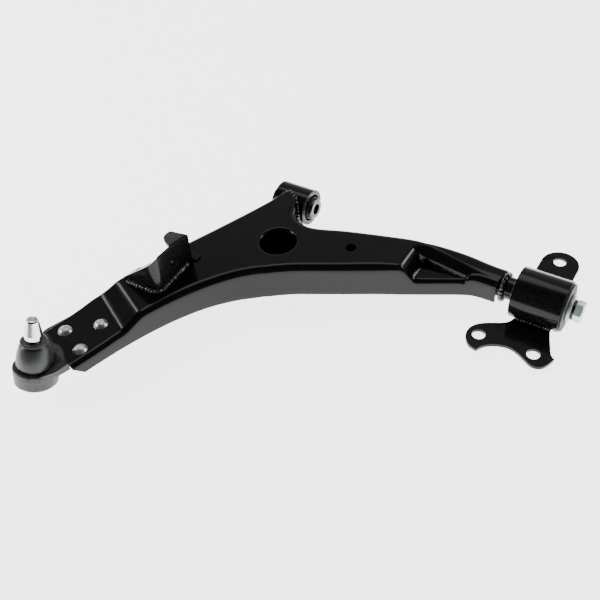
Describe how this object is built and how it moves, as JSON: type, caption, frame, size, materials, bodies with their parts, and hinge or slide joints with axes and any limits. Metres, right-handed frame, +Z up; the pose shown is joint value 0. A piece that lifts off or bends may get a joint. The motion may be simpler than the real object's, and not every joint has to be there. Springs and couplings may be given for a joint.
{
  "type": "suspension control arm",
  "caption": "Lower front suspension control arm: pressed box-section arm with a bushed eye, a bushed rear shaft and bracket, a riveted ball joint and a link bracket.",
  "frame": {"origin": "centre of the front bush's bore", "axes": "+X back along the front bush's bore towards the rear bush, +Y inboard (away from the ball joint), +Z up, out of the flat top face"},
  "size_m": [0.4492, 0.4252, 0.091],
  "materials": {
    "arm_paint": "gloss black paint",
    "weld_bead": "gloss black paint over rippled weld",
    "bush_rubber": "matte black rubber",
    "boot_rubber": "satin black rubber",
    "sleeve_steel": "turned steel",
    "zinc": "pale blue-green zinc plate",
    "dark_steel": "dark oiled steel",
    "forging": "satin dark grey phosphate coating",
    "stud_steel": "bright machined steel",
    "bearing_resin": "pale resin",
    "rivet_steel": "plain steel, lightly tarnished"
  },
  "bodies": {
    "arm": {"upper_shell": "arm_paint", "lower_shell": "arm_paint", "front_eye_tube": "arm_paint", "front_eye_weld": "weld_bead", "front_bush_outer_sleeve": "sleeve_steel", "front_bush_rubber": "bush_rubber", "rear_shaft": "arm_paint", "shaft_weld": "weld_bead", "rear_bush_inner_sleeve": "sleeve_steel", "rear_end_washer": "zinc", "rear_spring_washer": "dark_steel", "rear_bolt": "zinc", "ball_joint_housing": "forging", "ball_joint_cap": "forging", "dust_boot": "boot_rubber", "boot_lower_ring": "dark_steel", "rivets": "rivet_steel", "link_bracket": "arm_paint", "link_bracket_nut": "dark_steel", "link_bracket_weld": "weld_bead"},
    "front_pivot": {"front_bush_inner_sleeve": "sleeve_steel"},
    "rear_mount": {"rear_bush_housing": "arm_paint", "rear_bush_outer_sleeve": "sleeve_steel", "rear_bush_rubber": "bush_rubber", "rear_bracket_plate": "arm_paint", "rear_bracket_tab": "arm_paint", "rear_bracket_welds": "weld_bead"},
    "ball_bearing": {"ball_bearing_shell": "bearing_resin"},
    "boot_ring": {"boot_upper_ring": "dark_steel"},
    "stud": {"ball_stud": "stud_steel"}
  },
  "joints": [
    {"name": "front_bush_twist", "type": "hinge", "parent": "arm", "child": "front_pivot", "pos_m": [0, 0, 0], "axis": [1, 0, 0], "range_deg": [-20, 20], "stiffness_Nm_per_rad": 45},
    {"name": "rear_bush_twist", "type": "hinge", "parent": "arm", "child": "rear_mount", "pos_m": [0.292, -0.015, -0.006], "axis": [1, 0, 0], "range_deg": [-20, 20], "stiffness_Nm_per_rad": 60},
    {"name": "stud_swing_across", "type": "hinge", "parent": "arm", "child": "ball_bearing", "pos_m": [-0.0945, -0.324, 0], "axis": [1, 0, 0], "range_deg": [-20, 20], "deforming": ["dust_boot"]},
    {"name": "stud_swing_along", "type": "hinge", "parent": "ball_bearing", "child": "boot_ring", "pos_m": [-0.0945, -0.324, 0], "axis": [0, 1, 0], "range_deg": [-15, 15], "deforming": ["dust_boot"]},
    {"name": "stud_spin", "type": "hinge", "parent": "boot_ring", "child": "stud", "pos_m": [-0.0945, -0.324, 0], "axis": [0.0334, 0.2924, 0.9557], "continuous": true}
  ]
}
